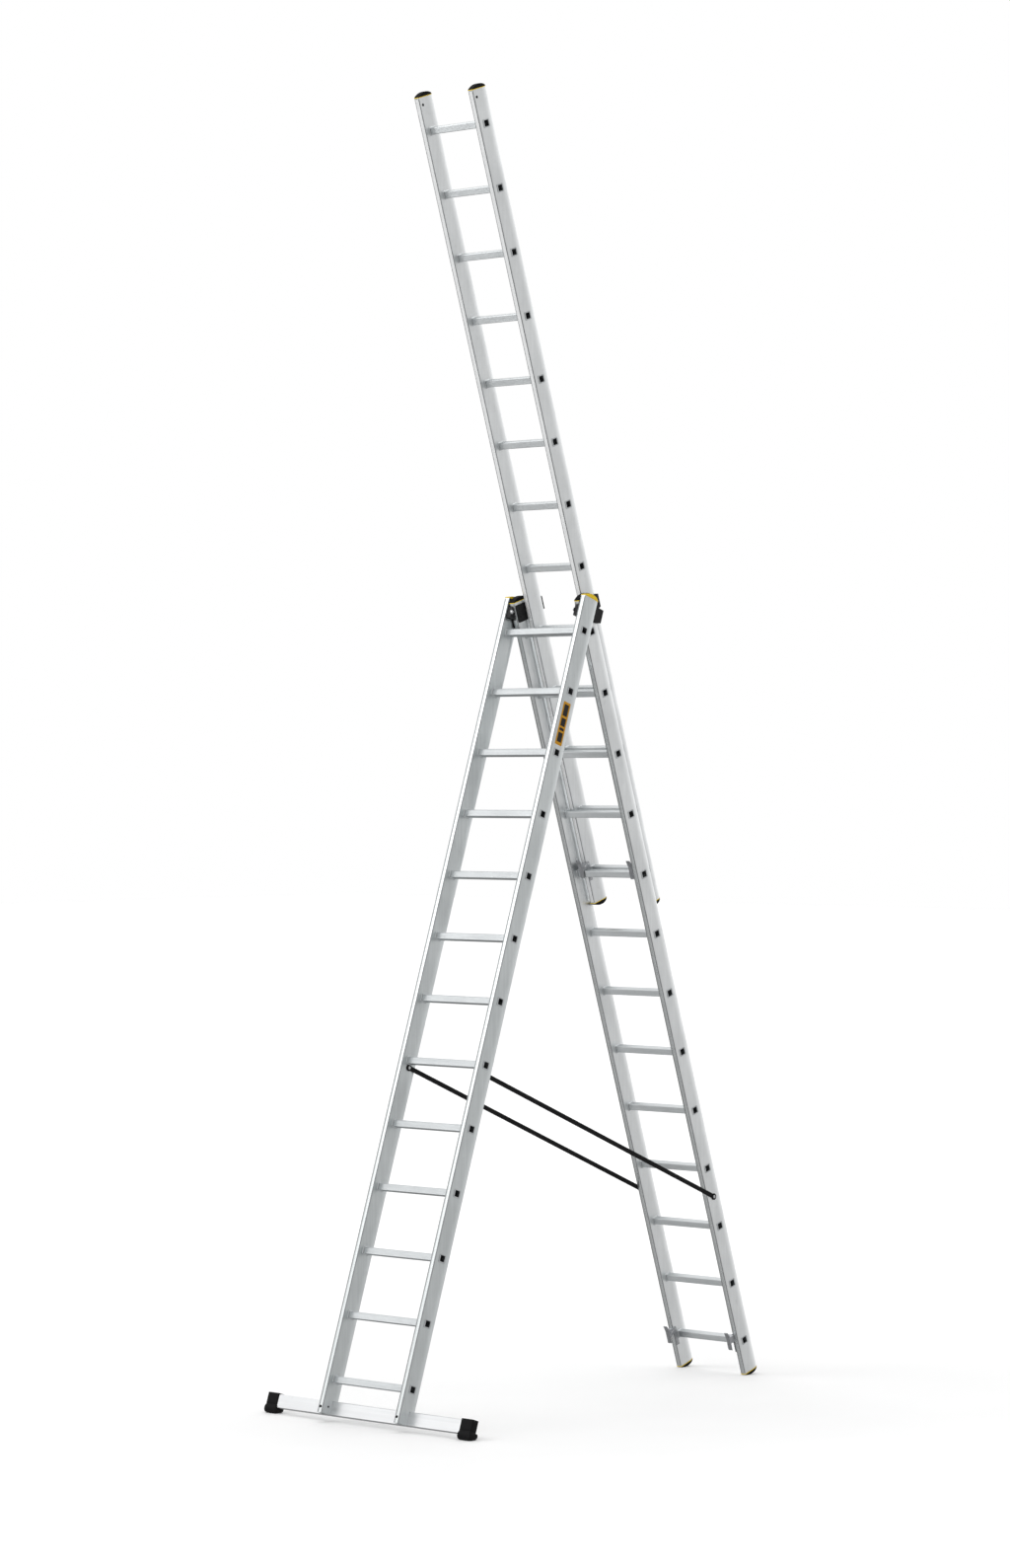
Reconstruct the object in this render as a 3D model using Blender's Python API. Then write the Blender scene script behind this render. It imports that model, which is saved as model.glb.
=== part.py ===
"""Three-part combination ladder: two sections hinged as an A-frame, the third run up behind the rear one.

Metres, +Z up. X runs across the ladder, -Y is the climbing side, and z = 0 is the floor.
A point of a section is given by `down`, its distance along the stiles below the hinge line, and `out`,
its distance in front of the hinge line, square to that section.
"""

import math

import bmesh
import bpy
from mathutils import Matrix, Vector

# The hinge line runs along X at this point.
HINGE_Y = 0.0083
HINGE_Z = 3.3880

# Tilt of the front and rear sections from the vertical.
FRONT_TILT = math.radians(18.77)
REAR_TILT = math.radians(18.28)

# Ladder layout.
RUNGS = 13
PITCH = 0.280
TOP_RUNG_DOWN = 0.048
STILE_PAST_RUNG = 0.150
SPACING = 0.061
RAISED = 8

# Stile tube. Its front and rear edges are given from the rungs' centre line.
STILE_W = 0.026
STILE_FRONT = 0.0425
STILE_REAR = 0.0535
STILE_WALL = 0.0016
NOSE_D = 0.038
FRONT_HALF = 0.236
REAR_HALF = 0.203
EXTENSION_HALF = 0.170

# Rung tube, pushed through both stiles and flared outside.
RUNG = 0.030
RUNG_WALL = 0.0015
RUNG_CHAMFER = 0.004
RUNG_PLAY = 0.0003
FLARE = 0.036
FLARE_OUT = 0.0013
FLARE_GAP = 0.0003

# Stabiliser bar across the foot of the front section, set in the stiles' rear corners.
BAR_HALF = 0.570
BAR_TALL = 0.060
BAR_THICK = 0.030
BAR_WALL = 0.002
BAR_FRONT = 0.0185
BAR_CORNER = 0.003

# Rubber boots on the bar's ends.
BOOT_LONG = 0.026
BOOT_LAP = 0.039
BOOT_WALL = 0.004
SOLE_FLARE = 0.010
SOLE_TALL = 0.012
SOLE_FRONT = 0.016
SOLE_REAR = 0.006
TIP_TAPER = 0.90
TIP_LONG = 0.006

# Domed foot caps of the rear section.
DOME = 0.0202
CAP_PROUD = 0.0005
CAP_SKIRT = 0.0035
CAP_PLUG = 0.030

# Brackets at the top of the front and rear sections.
PLATE_T = 0.0040
PLATE_TOP = -0.090
PLATE_BOTTOM = -0.012
PLATE_FRONT_IN = 0.005
PLATE_REAR = 0.1200
LIP_BOTTOM = -0.0312
LIP_T = 0.0045
LIP_IN = 0.024
PIN_R = 0.0060
PIN_BORE_R = 0.0061
PIN_LUG_R = 0.0150
PIN_IN = 0.0130

# Rung hooks, as offsets from the lowest rung's axis.
HOOK_OVER = 0.0153
HOOK_ARM_TOP = 0.045
HOOK_PRONG_DOWN = 0.018
HOOK_HEEL_DOWN = 0.043
HOOK_MOUTH_HALF = 0.0165
HOOK_PRONG_T = 0.0045

# Straps between the sections.
STRAP_W = 0.021
STRAP_T = 0.0018
STRAP_FRONT_DOWN = 2.038
STRAP_REAR_DOWN = 2.706

GAP = 0.0003


def clear_scene():
    for item in list(bpy.data.objects):
        bpy.data.objects.remove(item, do_unlink=True)


def material(name, colour, metallic, roughness):
    mat = bpy.data.materials.get(name) or bpy.data.materials.new(name)
    mat.use_nodes = True
    shader = mat.node_tree.nodes["Principled BSDF"]
    shader.inputs["Base Color"].default_value = (*colour, 1.0)
    shader.inputs["Metallic"].default_value = metallic
    shader.inputs["Roughness"].default_value = roughness
    return mat


class Section:
    """One ladder section: where its hinge-relative coordinates lie in the world."""

    def __init__(self, tilt, side, centre_out, raise_by=0.0):
        self.down = Vector((0.0, side * math.sin(tilt), -math.cos(tilt)))
        self.out = Vector((0.0, -math.cos(tilt), -side * math.sin(tilt)))
        self.centre_out = centre_out
        self.top_rung = TOP_RUNG_DOWN - raise_by
        self.hinge = Vector((0.0, HINGE_Y, HINGE_Z))

    def point(self, x, out, down):
        return self.hinge + self.out * out + self.down * down + Vector((x, 0.0, 0.0))

    def frame(self, origin=None):
        """Local X across, local Y to the front, local Z down the stiles."""
        origin = origin or self.hinge
        rows = [(self.x(i), self.out[i], self.down[i], origin[i]) for i in range(3)]
        return Matrix([*rows, (0.0, 0.0, 0.0, 1.0)])

    @staticmethod
    def x(i):
        return 1.0 if i == 0 else 0.0


FRONT = Section(FRONT_TILT, -1, SPACING / 2)
REAR = Section(REAR_TILT, 1, -SPACING / 2)
EXTENSION = Section(REAR_TILT, 1, -SPACING * 1.5, RAISED * PITCH)

END_DOWN = (RUNGS - 1) * PITCH + STILE_PAST_RUNG


def rung_down(section, number):
    """Distance of a rung, numbered from the top, below the hinge line."""
    return section.top_rung + (number - 1) * PITCH


def add(name, mesh_data, frame, mat, smooth=False):
    """An object whose vertices are given in the frame's coordinates."""
    mesh = bpy.data.meshes.new(name)
    mesh_data.transform(frame)
    if frame.determinant() < 0:
        bmesh.ops.reverse_faces(mesh_data, faces=mesh_data.faces)
    bmesh.ops.recalc_face_normals(mesh_data, faces=mesh_data.faces)
    mesh_data.to_mesh(mesh)
    mesh_data.free()
    obj = bpy.data.objects.new(name, mesh)
    bpy.context.scene.collection.objects.link(obj)
    mesh.materials.append(mat)
    for face in mesh.polygons:
        face.use_smooth = smooth
    return obj


def loft(bm, rings, closed=False):
    """Faces between successive rings of points. An open loft gets flat ends."""
    made = [[bm.verts.new(point) for point in ring] for ring in rings]
    pairs = list(zip(made, made[1:]))
    if closed:
        pairs.append((made[-1], made[0]))
    for low, high in pairs:
        for i in range(len(low)):
            j = (i + 1) % len(low)
            bm.faces.new((low[i], low[j], high[j], high[i]))
    if not closed:
        bm.faces.new(list(reversed(made[0])))
        bm.faces.new(made[-1])
    return bm


def prism(outline, low, high, axis):
    """A flat outline pushed along one local axis: 0 is X, 1 is out, 2 is down."""
    bm = bmesh.new()

    def place(point, height):
        values = list(point)
        values.insert(axis, height)
        return Vector(values)

    return loft(bm, [[place(p, low) for p in outline], [place(p, high) for p in outline]])


def box(low, high):
    outline = [(low[0], low[1]), (high[0], low[1]), (high[0], high[1]), (low[0], high[1])]
    return prism(outline, low[2], high[2], 2)


def cutter(name, mesh_data, frame):
    obj = add(name, mesh_data, frame, PLASTIC)
    obj.hide_render = True
    obj.display_type = "WIRE"
    return obj


def combine(obj, other, operation):
    """An exact Boolean; a piece that was joined in is then dropped."""
    modifier = obj.modifiers.new(operation.title(), "BOOLEAN")
    modifier.operation = operation
    modifier.solver = "EXACT"
    modifier.object = other
    graph = bpy.context.evaluated_depsgraph_get()
    mesh = bpy.data.meshes.new_from_object(obj.evaluated_get(graph))
    obj.modifiers.clear()
    old = obj.data
    obj.data = mesh
    bpy.data.meshes.remove(old)
    bpy.data.objects.remove(other, do_unlink=True)
    return obj


def set_origin(obj, point):
    """The hinge line is the turning pieces' origin."""
    obj.data.transform(Matrix.Translation(-point))
    obj.matrix_world = Matrix.Translation(point)


def stile_outline(inset=0.0):
    """Flat front with small corners, and a rear edge drawn to a full round."""
    half_w = STILE_W / 2 - inset
    front = STILE_FRONT - inset
    rear = STILE_REAR - inset
    corner = max(0.0025 - inset, 0.0009)
    points = []
    for i in range(3):
        turn = math.pi / 2 * i / 2
        points.append((half_w - corner + corner * math.cos(turn), front - corner + corner * math.sin(turn)))
    for i in range(3):
        turn = math.pi / 2 * (1 + i / 2)
        points.append((-half_w + corner + corner * math.cos(turn), front - corner + corner * math.sin(turn)))
    steps = 14
    nose = NOSE_D - inset
    for i in range(steps + 1):
        turn = math.pi * (1 + i / steps)
        points.append((half_w * math.cos(turn), -rear + nose + nose * math.sin(turn)))
    return points


def octagon(half, chamfer):
    return [
        (half, half - chamfer),
        (half - chamfer, half),
        (-half + chamfer, half),
        (-half, half - chamfer),
        (-half, -half + chamfer),
        (-half + chamfer, -half),
        (half - chamfer, -half),
        (half, -half + chamfer),
    ]


def make_stile(name, section, half, sign, mat):
    centre_x = sign * (half - STILE_W / 2)
    top = section.top_rung - STILE_PAST_RUNG
    bottom = section.top_rung + END_DOWN
    bm = bmesh.new()
    outer = [(centre_x + x, section.centre_out + y) for x, y in stile_outline()]
    inner = [(centre_x + x, section.centre_out + y) for x, y in stile_outline(STILE_WALL)]
    loft(
        bm,
        [
            [Vector((*p, z)) for p in ring]
            for ring, z in ((outer, top), (outer, bottom), (inner, bottom), (inner, top))
        ],
        closed=True,
    )
    stile = add(name, bm, section.frame(), mat, smooth=True)
    windows = bmesh.new()
    reach = STILE_W
    size = RUNG / 2 + RUNG_PLAY
    for number in range(1, RUNGS + 1):
        down = rung_down(section, number)
        ring = octagon(size, RUNG_CHAMFER)
        loft(
            windows,
            [
                [Vector((centre_x + x, section.centre_out + y, down + z)) for y, z in ring]
                for x in (-reach, reach)
            ],
        )
    return combine(stile, cutter(name + "_windows", windows, section.frame()), "DIFFERENCE")


def make_rung(name, section, half, number, mat):
    """A square tube through both stiles, flared over their outer faces."""
    down = rung_down(section, number)
    bore = octagon(RUNG / 2 - RUNG_WALL, RUNG_CHAMFER - RUNG_WALL * 0.6)
    body = octagon(RUNG / 2, RUNG_CHAMFER)
    flare = octagon(FLARE / 2, RUNG_CHAMFER * 1.3)
    end = half + FLARE_OUT
    root = half + FLARE_GAP

    def ring(outline, x):
        return [Vector((x, section.centre_out + y, down + z)) for y, z in outline]

    bm = bmesh.new()
    loft(
        bm,
        [ring(flare, -end), ring(body, -root), ring(body, root), ring(flare, end), ring(bore, end), ring(bore, -end)],
        closed=True,
    )
    return add(name, bm, section.frame(), mat)


def make_bar(mat):
    """The hollow cross bar."""
    bottom = FRONT.top_rung + END_DOWN
    front = BAR_FRONT
    rear = front - BAR_THICK
    centre = ((front + rear) / 2, bottom - BAR_TALL / 2)

    def outline(inset, corner):
        w = BAR_THICK / 2 - inset
        h = BAR_TALL / 2 - inset
        return [
            (centre[0] + y, centre[1] + z)
            for y, z in (
                (w, h - corner),
                (w - corner, h),
                (-w + corner, h),
                (-w, h - corner),
                (-w, -h + corner),
                (-w + corner, -h),
                (w - corner, -h),
                (w, -h + corner),
            )
        ]

    outer = outline(0.0, BAR_CORNER)
    inner = outline(BAR_WALL, BAR_CORNER * 0.6)
    low = -BAR_HALF
    high = BAR_HALF
    bm = bmesh.new()
    loft(
        bm,
        [
            [Vector((x, *p)) for p in ring]
            for ring, x in ((outer, low), (outer, high), (inner, high), (inner, low))
        ],
        closed=True,
    )
    return add("stabiliser_bar", bm, FRONT.frame(), mat)


def make_boot(name, sign, mat):
    """A rubber boot over the bar's end, its flared sole flat on the floor."""
    bottom = FRONT.top_rung + END_DOWN
    front = BAR_FRONT + BOOT_WALL
    rear = BAR_FRONT - BAR_THICK - BOOT_WALL
    top = bottom - BAR_TALL - BOOT_WALL
    tip = sign * (BAR_HALF + BOOT_LONG)
    heel = sign * (BAR_HALF - BOOT_LAP)
    low = bottom - BOOT_WALL
    corners = [FRONT.point(0.0, out, down) for out, down in ((front, top), (rear, top), (rear, low), (front, low))]
    sole_front = corners[3].y - SOLE_FRONT
    sole_rear = corners[2].y + SOLE_REAR
    outline = [
        (corners[0].y, corners[0].z),
        (corners[1].y, corners[1].z),
        (corners[2].y, corners[2].z),
        (sole_rear, SOLE_TALL),
        (sole_rear, 0.0),
        (sole_front, 0.0),
        (sole_front, SOLE_TALL),
        (corners[3].y, corners[3].z),
    ]
    mid_y = sum(y for y, _ in outline) / len(outline)
    mid_z = sum(z for _, z in outline) / len(outline)

    def ring(x, grow, flare):
        """The side outline at one x. Its sleeve part may shrink and its sole part reach outward."""
        points = []
        for i, (y, z) in enumerate(outline):
            if i in (3, 4, 5, 6):
                points.append(Vector((x + (sign * flare if i in (4, 5) else 0.0), y, z)))
            else:
                points.append(Vector((x, mid_y + (y - mid_y) * grow, mid_z + (z - mid_z) * grow)))
        return points

    bm = bmesh.new()
    loft(
        bm,
        [
            ring(heel, 1.0, 0.0),
            ring(tip - sign * TIP_LONG, 1.0, 0.0),
            ring(tip, TIP_TAPER, SOLE_FLARE),
        ],
    )
    boot = add(name, bm, Matrix.Identity(4), mat)
    pocket = box(
        (
            min(heel - sign * 0.01, sign * (BAR_HALF + GAP)),
            BAR_FRONT - BAR_THICK - GAP,
            bottom - BAR_TALL - GAP,
        ),
        (
            max(heel - sign * 0.01, sign * (BAR_HALF + GAP)),
            BAR_FRONT + GAP,
            bottom + GAP,
        ),
    )
    return combine(boot, cutter(name + "_pocket", pocket, FRONT.frame()), "DIFFERENCE")


def make_foot(name, sign, mat):
    """A plastic cap with a rocker-shaped sole, its plug up inside the stile."""
    centre_x = sign * (REAR_HALF - STILE_W / 2)
    end = REAR.top_rung + END_DOWN
    outline = stile_outline(-CAP_PROUD)

    def ring(points, down):
        return [Vector((centre_x + x, REAR.centre_out + y, down)) for x, y in points]

    def dome(points, share, inset):
        made = []
        half = (STILE_FRONT + STILE_REAR) / 2 + CAP_PROUD
        middle = (STILE_FRONT - STILE_REAR) / 2
        for x, y in points:
            x *= 1 - inset
            y = middle + (y - middle) * (1 - inset * 0.3)
            bow = share * (1 - ((y - middle) / half) ** 2)
            made.append(Vector((centre_x + x, REAR.centre_out + y, end + GAP + CAP_SKIRT + bow)))
        return made

    bm = bmesh.new()
    plug = stile_outline(STILE_WALL + GAP)
    rings = [
        ring([(x * 0.9, y * 0.96) for x, y in plug], end - CAP_PLUG),
        ring(plug, end - CAP_PLUG + 0.004),
        ring(plug, end + GAP),
        ring(outline, end + GAP),
        dome(outline, DOME - CAP_SKIRT, 0.0),
        dome(outline, DOME - CAP_SKIRT + 0.0012, 0.16),
    ]
    loft(bm, rings[:-1])
    for face in [f for f in bm.faces if len(f.verts) > 4]:
        bm.faces.remove(face)
    base = list(bm.verts)
    count = len(outline)
    last = base[-count:]
    first = base[:count]
    crown = [bm.verts.new(p) for p in rings[-1]]
    for i in range(count):
        j = (i + 1) % count
        bm.faces.new((last[i], last[j], crown[j], crown[i]))
    for end_ring in (crown, first):
        fill_strip(bm, end_ring)
    return add(name, bm, REAR.frame(), mat, smooth=True)


def fill_strip(bm, ring):
    """Closes a stile-shaped ring with quads that run across it, so that a bowed end stays bowed."""
    n = len(ring)
    right = ring[:3]
    left = ring[3:6]
    nose = ring[6:]
    half = len(nose) // 2
    left_side = left + nose[: half + 1]
    right_side = list(reversed(right)) + list(reversed(nose[half:]))
    assert len(left_side) + len(right_side) == n + 1
    for i in range(len(left_side) - 1):
        quad = [left_side[i], left_side[i + 1], right_side[i + 1], right_side[i]]
        corners = []
        for v in quad:
            if v not in corners:
                corners.append(v)
        bm.faces.new(corners)


def bracket_outline(section):
    """Side view of a top bracket's plate, as (out, down)."""
    front = section.centre_out + STILE_FRONT - PLATE_FRONT_IN
    rear = section.centre_out - PLATE_REAR
    return [
        (front, PLATE_TOP + 0.004),
        (front - 0.004, PLATE_TOP),
        (rear, PLATE_TOP),
        (rear, LIP_BOTTOM + 0.0002),
        (section.centre_out - 0.058, PLATE_BOTTOM),
        (front - 0.004, PLATE_BOTTOM),
        (front, PLATE_BOTTOM - 0.004),
    ]


def x_span(sign, near, far):
    return (sign * near, sign * far) if sign > 0 else (sign * far, sign * near)


def circle(centre, radius, steps):
    return [
        (centre[0] + radius * math.cos(turn), centre[1] + radius * math.sin(turn))
        for turn in (2 * math.pi * i / steps for i in range(steps))
    ]


def make_bracket(name, section, half, sign, mat):
    """A plate on the stile's inner face, with a lip behind the next section's rear edge."""
    face = half - STILE_W - GAP
    low, high = x_span(sign, face - PLATE_T, face)
    plate = add(name, prism(bracket_outline(section), low, high, 0), section.frame(), mat)
    low, high = x_span(sign, face - LIP_IN, face - PLATE_T * 0.25)
    rear = section.centre_out - PLATE_REAR
    lip = box((low, rear + 0.0002, PLATE_TOP + 0.0002), (high, rear + LIP_T, LIP_BOTTOM))
    return combine(plate, cutter(name + "_lip", lip, section.frame()), "UNION")


def make_hinge_bracket(name, sign, mat):
    """The front section's bracket, with the hinge pin and the block that the rear section stops on."""
    bracket = make_bracket(name, FRONT, FRONT_HALF, sign, mat)
    face = FRONT_HALF - STILE_W - GAP
    lug_low, lug_high = x_span(sign, face - PLATE_T + 0.0001, face - 0.0001)
    lug = [
        (-PIN_LUG_R, -0.018),
        (PIN_LUG_R, -0.018),
        *[
            (PIN_LUG_R * math.cos(math.pi * i / 12), PIN_LUG_R * math.sin(math.pi * i / 12))
            for i in range(0, 13)
        ],
    ]
    combine(bracket, cutter(name + "_lug", prism(lug, lug_low, lug_high, 0), FRONT.frame()), "UNION")
    pin_low, pin_high = x_span(sign, REAR_HALF - PIN_IN, face - PLATE_T * 0.4)
    pin = prism(circle((0.0, 0.0), PIN_R, 32), pin_low, pin_high, 0)
    combine(bracket, cutter(name + "_pin", pin, FRONT.frame()), "UNION")
    # The block fills the wedge between the plate's front edge and the open rear section.
    slope = math.tan(FRONT_TILT + REAR_TILT)
    stile_front = (STILE_FRONT - SPACING / 2 + 0.0012) / math.cos(FRONT_TILT + REAR_TILT)
    front = FRONT.centre_out + STILE_FRONT - PLATE_FRONT_IN - 0.0004
    low_down = PLATE_BOTTOM - 0.0004
    wedge = [
        (front, low_down),
        (front, -(front - stile_front) / slope + 0.006),
        (front - 0.006 * slope * 0.6, -(front - stile_front) / slope + 0.0085),
        (stile_front - low_down * slope, low_down),
    ]
    block_low, block_high = x_span(sign, REAR_HALF - 0.019, face - PLATE_T * 0.3)
    block = prism(wedge, block_low, block_high, 0)
    return combine(bracket, cutter(name + "_block", block, FRONT.frame()), "UNION")


def make_hook(name, section, half, sign, mat):
    """A claw that drops over a rung of the section in front."""
    inner = half - STILE_W
    rung = rung_down(section, RUNGS)
    mouth = section.centre_out + SPACING
    stile_front = section.centre_out + STILE_FRONT
    heel = stile_front + 0.0015
    prong_in = mouth + HOOK_MOUTH_HALF
    prong_out = prong_in + HOOK_PRONG_T
    top = rung - HOOK_ARM_TOP
    over = rung - HOOK_OVER
    claw = [
        (heel, top + 0.006),
        (heel + 0.008, top),
        (prong_out - 0.006, top),
        (prong_out + 0.005, top - 0.025),
        (prong_out + 0.0075, top - 0.0235),
        (prong_out, top + 0.006),
        (prong_out, rung + HOOK_PRONG_DOWN - 0.002),
        (prong_out - 0.002, rung + HOOK_PRONG_DOWN),
        (prong_in + 0.001, rung + HOOK_PRONG_DOWN),
        (prong_in, over + 0.003),
        (prong_in - 0.003, over),
        (heel, over),
    ]
    low, high = x_span(sign, inner - 0.0070, inner + 0.0130)
    hook = add(name, prism(claw, low, high, 0), section.frame(), mat)
    side = [
        (section.centre_out + 0.0245, top + 0.0012),
        (prong_in - 0.004, top + 0.0012),
        (prong_in - 0.004, over - 0.0012),
        (heel - 0.0003, over - 0.0012),
        (heel - 0.0003, rung + HOOK_HEEL_DOWN),
        (section.centre_out + 0.0245, rung + HOOK_HEEL_DOWN),
    ]
    low, high = x_span(sign, inner - GAP - 0.0040, inner - GAP)
    return combine(hook, cutter(name + "_side", prism(side, low, high, 0), section.frame()), "UNION")


def make_strap(name, sign, mat):
    """A flat strap between the sections, in the gap beside the rear stile."""
    start = FRONT.point(sign * 0.2081, FRONT.centre_out - 0.005, STRAP_FRONT_DOWN)
    end = REAR.point(sign * 0.2049, REAR.centre_out, STRAP_REAR_DOWN)
    along = (end - start).normalized()
    over = 0.012
    start = start - along * over
    end = end + along * over
    wide = Vector((1.0, 0.0, 0.0)).cross(along).normalized()
    thick = along.cross(wide).normalized()
    bm = bmesh.new()
    rings = []
    for place in (start, end):
        rings.append(
            [
                place + wide * (w * STRAP_W / 2) + thick * (t * STRAP_T / 2)
                for w, t in ((-1, -1), (1, -1), (1, 1), (-1, 1))
            ]
        )
    loft(bm, rings)
    return add(name, bm, Matrix.Identity(4), mat)


clear_scene()

ALUMINIUM = material("aluminium", (0.78, 0.79, 0.80), 1.0, 0.35)
STEEL = material("bracket_steel", (0.06, 0.06, 0.065), 0.6, 0.45)
ZINC = material("hook_steel", (0.30, 0.31, 0.32), 0.9, 0.42)
RUBBER = material("boot_rubber", (0.03, 0.03, 0.03), 0.0, 0.75)
PLASTIC = material("cap_plastic", (0.04, 0.04, 0.04), 0.0, 0.5)
WEBBING = material("strap", (0.03, 0.03, 0.032), 0.0, 0.8)

SIDES = (("left", -1), ("right", 1))

moving = []

for label, section, half in (
    ("front", FRONT, FRONT_HALF),
    ("rear", REAR, REAR_HALF),
    ("extension", EXTENSION, EXTENSION_HALF),
):
    for side, sign in SIDES:
        stile = make_stile(f"{label}_stile_{side}", section, half, sign, ALUMINIUM)
        if section is FRONT:
            bottom = FRONT.top_rung + END_DOWN
            notch = box(
                (sign * FRONT_HALF - 0.05, -0.06, bottom - BAR_TALL - GAP),
                (sign * FRONT_HALF + 0.05, BAR_FRONT + GAP, bottom + 0.02),
            )
            combine(stile, cutter("notch_" + side, notch, FRONT.frame()), "DIFFERENCE")
        if section is REAR:
            low, high = x_span(sign, REAR_HALF - 0.008, REAR_HALF + 0.01)
            bore = prism(circle((0.0, 0.0), PIN_BORE_R, 32), low, high, 0)
            combine(stile, cutter("bore_" + side, bore, REAR.frame()), "DIFFERENCE")
        if section is not FRONT:
            moving.append(stile)
    for number in range(1, RUNGS + 1):
        rung = make_rung(f"{label}_rung_{number:02d}", section, half, number, ALUMINIUM)
        if section is not FRONT:
            moving.append(rung)

make_bar(ALUMINIUM)
for side, sign in SIDES:
    make_boot("stabiliser_foot_" + side, sign, RUBBER)
    make_hinge_bracket("hinge_bracket_" + side, sign, STEEL)
    moving.append(make_bracket("guide_bracket_" + side, REAR, REAR_HALF, sign, STEEL))
    moving.append(make_foot("rear_foot_" + side, sign, PLASTIC))
    moving.append(make_hook("rear_hook_" + side, REAR, REAR_HALF, sign, ZINC))
    moving.append(make_hook("extension_hook_" + side, EXTENSION, EXTENSION_HALF, sign, ZINC))
    make_strap("strap_" + side, sign, WEBBING)

for obj in moving:
    set_origin(obj, Vector((0.0, HINGE_Y, HINGE_Z)))
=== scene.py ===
import math

import bmesh
import bpy
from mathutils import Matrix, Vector


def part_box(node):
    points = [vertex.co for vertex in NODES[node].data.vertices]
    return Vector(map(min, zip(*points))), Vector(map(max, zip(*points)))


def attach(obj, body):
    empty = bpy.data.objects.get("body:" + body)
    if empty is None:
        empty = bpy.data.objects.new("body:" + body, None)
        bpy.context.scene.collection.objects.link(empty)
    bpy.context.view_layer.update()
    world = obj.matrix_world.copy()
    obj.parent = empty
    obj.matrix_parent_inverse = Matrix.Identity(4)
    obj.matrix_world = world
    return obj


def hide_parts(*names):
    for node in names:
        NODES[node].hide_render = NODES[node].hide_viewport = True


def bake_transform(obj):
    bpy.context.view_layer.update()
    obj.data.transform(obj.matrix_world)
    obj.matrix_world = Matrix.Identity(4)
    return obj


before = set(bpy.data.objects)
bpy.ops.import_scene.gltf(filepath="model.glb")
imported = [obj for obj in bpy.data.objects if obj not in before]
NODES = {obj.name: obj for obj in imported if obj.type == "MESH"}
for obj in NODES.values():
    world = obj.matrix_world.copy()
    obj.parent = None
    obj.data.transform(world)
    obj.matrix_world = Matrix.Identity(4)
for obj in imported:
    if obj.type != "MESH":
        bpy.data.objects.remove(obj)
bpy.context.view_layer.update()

# The hinge line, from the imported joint.
HINGE = Vector((0.0, 0.0083, 3.3880))

# Ladder layout, in metres.
RUNGS = 13
PITCH = 0.280
TOP_RUNG = 0.048
PAST_RUNG = 0.150
STILE_W = 0.026
STILE_FRONT = 0.0425
STILE_REAR = 0.0535
NOSE_D = 0.038
RUNG = 0.030
BORE = 0.0270
BAR_FRONT = 0.0185
BAR_THICK = 0.030
BAR_TALL = 0.060
END_DOWN = (RUNGS - 1) * PITCH + PAST_RUNG

SIDES = (("left", -1), ("right", 1))


class Section:
    """A ladder section. `down` runs along its stiles from the hinge line and `out` to its front."""

    def __init__(self, name, tilt, side, centre_out, half, raised=0.0):
        tilt = math.radians(tilt)
        self.name = name
        self.body = name + "_section"
        self.down = Vector((0.0, side * math.sin(tilt), -math.cos(tilt)))
        self.out = Vector((0.0, -math.cos(tilt), -side * math.sin(tilt)))
        self.centre = centre_out
        self.half = half
        self.top_rung = TOP_RUNG - raised
        self.top = self.top_rung - PAST_RUNG
        self.bottom = self.top_rung + END_DOWN

    def point(self, x, out, down):
        return HINGE + Vector((x, 0.0, 0.0)) + self.out * out + self.down * down

    def rung(self, number):
        return self.top_rung + (number - 1) * PITCH


FRONT = Section("front", 18.77, -1, 0.0305, 0.236)
REAR = Section("rear", 18.28, 1, -0.0305, 0.203)
EXTENSION = Section("extension", 18.28, 1, -0.0915, 0.170, 8 * PITCH)
SECTIONS = (FRONT, REAR, EXTENSION)


# ---------------------------------------------------------------- materials


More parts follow.
